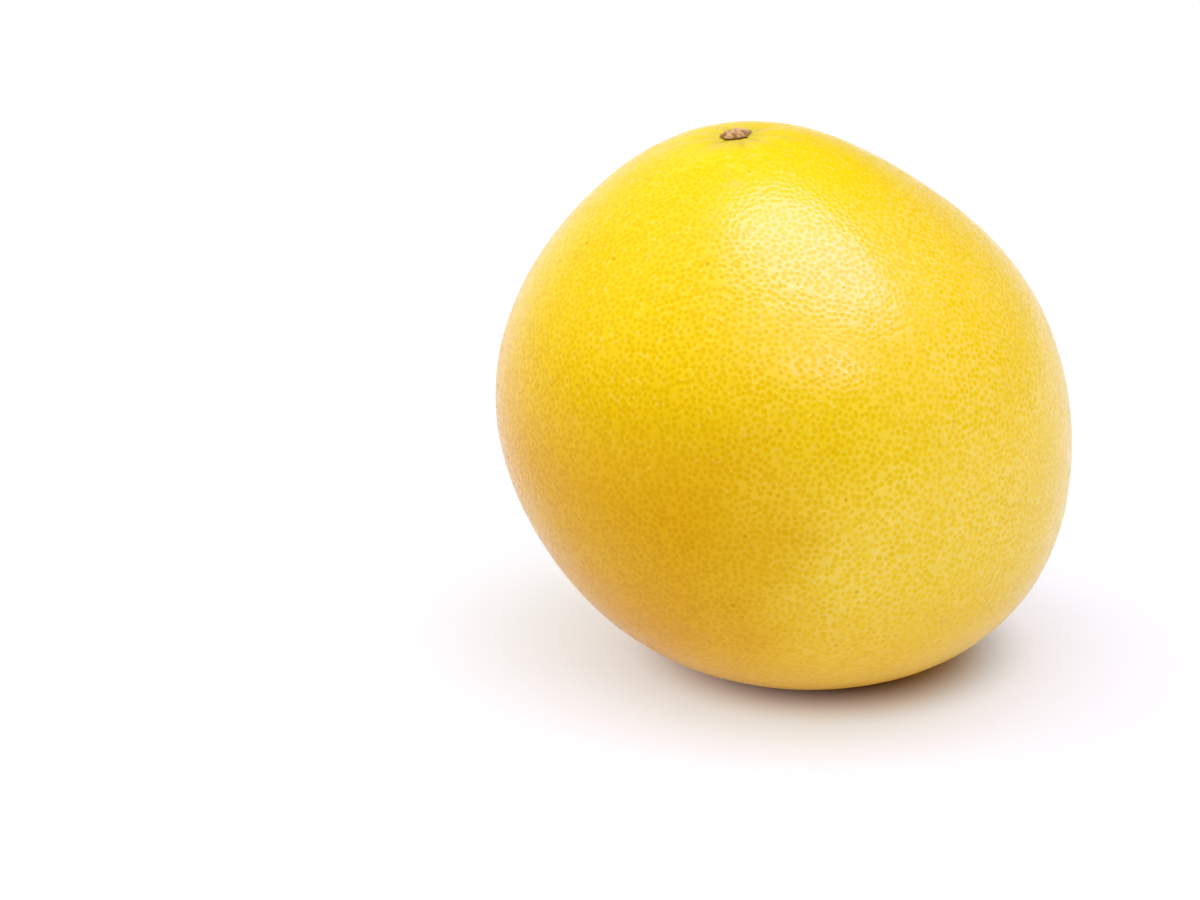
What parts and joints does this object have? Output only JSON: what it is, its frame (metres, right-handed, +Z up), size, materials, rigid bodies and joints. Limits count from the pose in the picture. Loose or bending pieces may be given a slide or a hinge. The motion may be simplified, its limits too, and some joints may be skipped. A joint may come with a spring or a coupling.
{
  "type": "pomelo fruit",
  "caption": "Whole pomelo with a slightly pear-shaped, lopsided body, yellow pitted peel and a dry stem button; stands on a small flat spot.",
  "frame": {"origin": "on the surface the fruit stands on, under the middle of its bounding box", "axes": "+Z up; the stem end is on top, leaning a little to -X and -Y; the low full side of the fruit is to +X"},
  "size_m": [0.1522, 0.1486, 0.1458],
  "materials": {
    "peel": "satin",
    "stem_button": "matte"
  },
  "bodies": {
    "root": {"fruit": "peel", "stem_button": "stem_button"}
  },
  "joints": []
}
